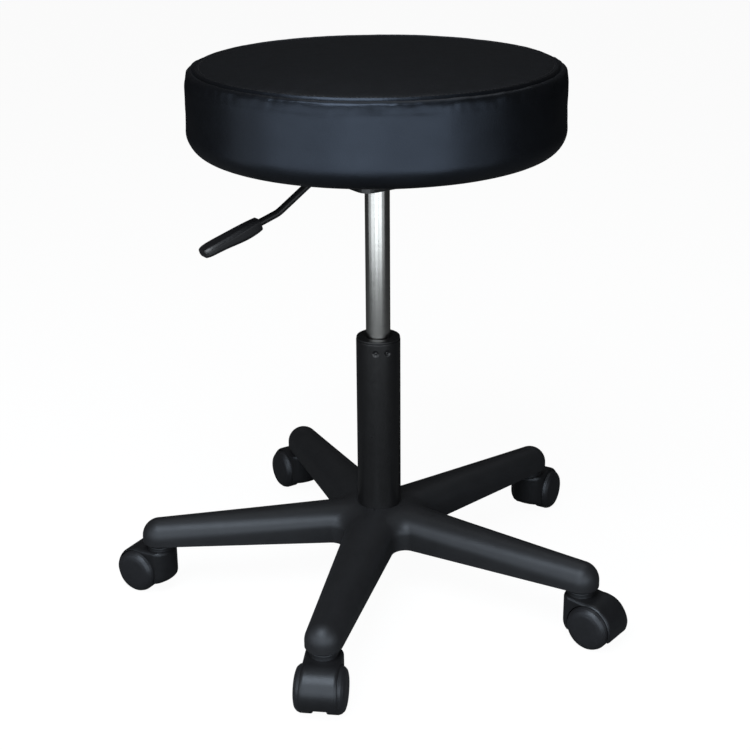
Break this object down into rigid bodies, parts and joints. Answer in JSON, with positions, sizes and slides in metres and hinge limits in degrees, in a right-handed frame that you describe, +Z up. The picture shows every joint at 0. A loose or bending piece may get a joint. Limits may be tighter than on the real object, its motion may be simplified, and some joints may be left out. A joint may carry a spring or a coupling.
{
  "type": "adjustable swivel stool",
  "caption": "Round padded stool on a gas spring, with a lever under the seat, a star base and twin-wheel casters.",
  "frame": {"origin": "on the floor, on the column's axis, which is the axis of the seat's swivel", "axes": "+Z up along the column; seen from the front (-Y), +X is to the right; the lever points to the front left"},
  "size_m": [0.5806, 0.5915, 0.6186],
  "materials": {
    "moulded_nylon": "fine-grained satin black",
    "caster_nylon": "satin black",
    "wheel_nylon": "satin black",
    "black_paint": "satin black powder coat",
    "black_acetal": "satin black",
    "satin_steel": "satin",
    "zinc_steel": "zinc plated",
    "black_rubber": "matt",
    "black_vinyl": "soft grained satin vinyl",
    "foam": "open-cell foam",
    "plywood": "raw plywood",
    "dust_felt": "non-woven felt",
    "handle_plastic": "satin black"
  },
  "bodies": {
    "base": {"star_base": "moulded_nylon", "hub_ring": "zinc_steel", "column_tube": "black_paint", "column_bushing": "black_acetal", "lower_thrust_washer": "zinc_steel", "caster_stem_1": "zinc_steel", "caster_stem_2": "zinc_steel", "caster_stem_3": "zinc_steel", "caster_stem_4": "zinc_steel", "caster_stem_5": "zinc_steel"},
    "rod": {"thrust_bearing": "zinc_steel", "upper_thrust_washer": "zinc_steel", "rubber_bumper": "black_rubber", "piston_rod": "satin_steel", "piston": "black_acetal", "retaining_clip": "zinc_steel"},
    "seat": {"gas_cylinder": "satin_steel", "rod_guide": "black_acetal", "taper_socket": "black_paint", "seat_plate": "black_paint", "lever_bracket": "black_paint", "lever_pin": "zinc_steel", "seat_board": "plywood", "seat_foam": "foam", "cover_band": "black_vinyl", "cover_top": "black_vinyl", "dust_cover": "dust_felt", "plate_bolt_1": "zinc_steel", "plate_bolt_2": "zinc_steel", "plate_bolt_3": "zinc_steel", "plate_bolt_4": "zinc_steel", "tee_nut_1": "zinc_steel", "tee_nut_2": "zinc_steel", "tee_nut_3": "zinc_steel", "tee_nut_4": "zinc_steel"},
    "button": {"release_pin": "black_acetal"},
    "lever": {"lever_rod": "black_paint", "lever_handle": "handle_plastic"},
    "caster_1": {"caster_housing_1": "caster_nylon", "caster_axle_1": "zinc_steel"},
    "wheel_1_left": {"caster_wheel_1_left": "wheel_nylon"},
    "wheel_1_right": {"caster_wheel_1_right": "wheel_nylon"},
    "caster_2": {"caster_housing_2": "caster_nylon", "caster_axle_2": "zinc_steel"},
    "wheel_2_left": {"caster_wheel_2_left": "wheel_nylon"},
    "wheel_2_right": {"caster_wheel_2_right": "wheel_nylon"},
    "caster_3": {"caster_housing_3": "caster_nylon", "caster_axle_3": "zinc_steel"},
    "wheel_3_left": {"caster_wheel_3_left": "wheel_nylon"},
    "wheel_3_right": {"caster_wheel_3_right": "wheel_nylon"},
    "caster_4": {"caster_housing_4": "caster_nylon", "caster_axle_4": "zinc_steel"},
    "wheel_4_left": {"caster_wheel_4_left": "wheel_nylon"},
    "wheel_4_right": {"caster_wheel_4_right": "wheel_nylon"},
    "caster_5": {"caster_housing_5": "caster_nylon", "caster_axle_5": "zinc_steel"},
    "wheel_5_left": {"caster_wheel_5_left": "wheel_nylon"},
    "wheel_5_right": {"caster_wheel_5_right": "wheel_nylon"}
  },
  "joints": [
    {"name": "seat_swivel", "type": "hinge", "parent": "base", "child": "rod", "pos_m": [0, 0, 0.06], "axis": [0, 0, 1], "continuous": true},
    {"name": "seat_height", "type": "slide", "parent": "rod", "child": "seat", "axis": [0, 0, 1], "range_m": [-0.13, 0]},
    {"name": "lever_lift", "type": "hinge", "parent": "seat", "child": "lever", "pos_m": [-0.02867, -0.02007, 0.5139], "axis": [-0.5736, 0.8192, 0], "range_deg": [0, 6.5], "stiffness_Nm_per_rad": 20, "springref_deg": -5.73},
    {"name": "button_press", "type": "slide", "parent": "seat", "child": "button", "axis": [0, 0, -1], "range_m": [0, 0.0045]},
    {"name": "caster_swivel_1", "type": "hinge", "parent": "base", "child": "caster_1", "pos_m": [-0.25582, -0.02238, 0.03], "axis": [0, 0, 1], "continuous": true},
    {"name": "wheel_roll_1_left", "type": "hinge", "parent": "caster_1", "child": "wheel_1_left", "pos_m": [-0.27487, -0.01138, 0.025], "axis": [-0.5, -0.866, 0], "continuous": true},
    {"name": "wheel_roll_1_right", "type": "hinge", "parent": "caster_1", "child": "wheel_1_right", "pos_m": [-0.27487, -0.01138, 0.025], "axis": [-0.5, -0.866, 0], "continuous": true},
    {"name": "caster_swivel_2", "type": "hinge", "parent": "base", "child": "caster_2", "pos_m": [-0.10034, 0.23639, 0.03], "axis": [0, 0, 1], "continuous": true},
    {"name": "wheel_roll_2_left", "type": "hinge", "parent": "caster_2", "child": "wheel_2_left", "pos_m": [-0.112, 0.25504, 0.025], "axis": [-0.848, -0.5299, 0], "continuous": true},
    {"name": "wheel_roll_2_right", "type": "hinge", "parent": "caster_2", "child": "wheel_2_right", "pos_m": [-0.112, 0.25504, 0.025], "axis": [-0.848, -0.5299, 0], "continuous": true},
    {"name": "caster_swivel_3", "type": "hinge", "parent": "base", "child": "caster_3", "pos_m": [0.19381, 0.16848, 0.03], "axis": [0, 0, 1], "continuous": true},
    {"name": "wheel_roll_3_left", "type": "hinge", "parent": "caster_3", "child": "wheel_3_left", "pos_m": [0.20481, 0.18753, 0.025], "axis": [-0.866, 0.5, 0], "continuous": true},
    {"name": "wheel_roll_3_right", "type": "hinge", "parent": "caster_3", "child": "wheel_3_right", "pos_m": [0.20481, 0.18753, 0.025], "axis": [-0.866, 0.5, 0], "continuous": true},
    {"name": "caster_swivel_4", "type": "hinge", "parent": "base", "child": "caster_4", "pos_m": [0.22012, -0.13226, 0.03], "axis": [0, 0, 1], "continuous": true},
    {"name": "wheel_roll_4_left", "type": "hinge", "parent": "caster_4", "child": "wheel_4_left", "pos_m": [0.23722, -0.14611, 0.025], "axis": [0.6293, 0.7771, 0], "continuous": true},
    {"name": "wheel_roll_4_right", "type": "hinge", "parent": "caster_4", "child": "wheel_4_right", "pos_m": [0.23722, -0.14611, 0.025], "axis": [0.6293, 0.7771, 0], "continuous": true},
    {"name": "caster_swivel_5", "type": "hinge", "parent": "base", "child": "caster_5", "pos_m": [-0.05777, -0.25022, 0.03], "axis": [0, 0, 1], "continuous": true},
    {"name": "wheel_roll_5_left", "type": "hinge", "parent": "caster_5", "child": "wheel_5_left", "pos_m": [-0.06045, -0.27205, 0.025], "axis": [0.9925, -0.1219, 0], "continuous": true},
    {"name": "wheel_roll_5_right", "type": "hinge", "parent": "caster_5", "child": "wheel_5_right", "pos_m": [-0.06045, -0.27205, 0.025], "axis": [0.9925, -0.1219, 0], "continuous": true}
  ],
  "couplings": [
    {"joint": "button_press", "follows": "lever_lift", "m_per_rad": 0.035}
  ]
}
